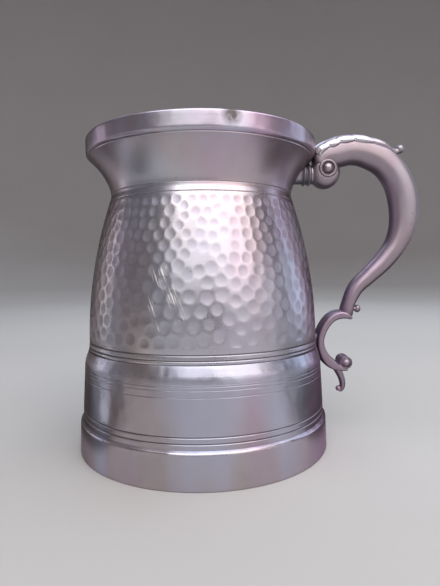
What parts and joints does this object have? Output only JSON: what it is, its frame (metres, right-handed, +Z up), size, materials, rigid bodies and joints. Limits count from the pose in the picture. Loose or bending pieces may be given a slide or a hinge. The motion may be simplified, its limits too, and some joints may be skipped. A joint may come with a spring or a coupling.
{
  "type": "beer tankard",
  "caption": "Pint tankard in pewter: hammered waisted barrel, thick rim band, stepped base with incised lines, cast scroll handle with a leaf cap and a lower scroll.",
  "frame": {"origin": "centre of the circle that the foot stands on, on the body's axis", "axes": "+Z up along the body's axis, +X towards the handle, +Y completes a right-handed frame"},
  "size_m": [0.1377, 0.1, 0.1238],
  "materials": {
    "hammered_pewter": "satin, hammered",
    "turned_pewter": "satin, turned",
    "cast_pewter": "satin, cast and polished",
    "solder": "dull"
  },
  "bodies": {
    "root": {"barrel": "hammered_pewter", "rim_band": "turned_pewter", "base_drum": "turned_pewter", "foot_band": "turned_pewter", "bottom_disc": "turned_pewter", "bottom_solder": "solder", "shoulder_solder": "solder", "upper_strut": "cast_pewter", "upper_roll": "cast_pewter", "handle_scroll": "cast_pewter", "leaf_cap": "cast_pewter", "spur_bud": "cast_pewter", "lower_scroll": "cast_pewter", "lower_lug": "solder", "tail_curl": "cast_pewter"}
  },
  "joints": []
}
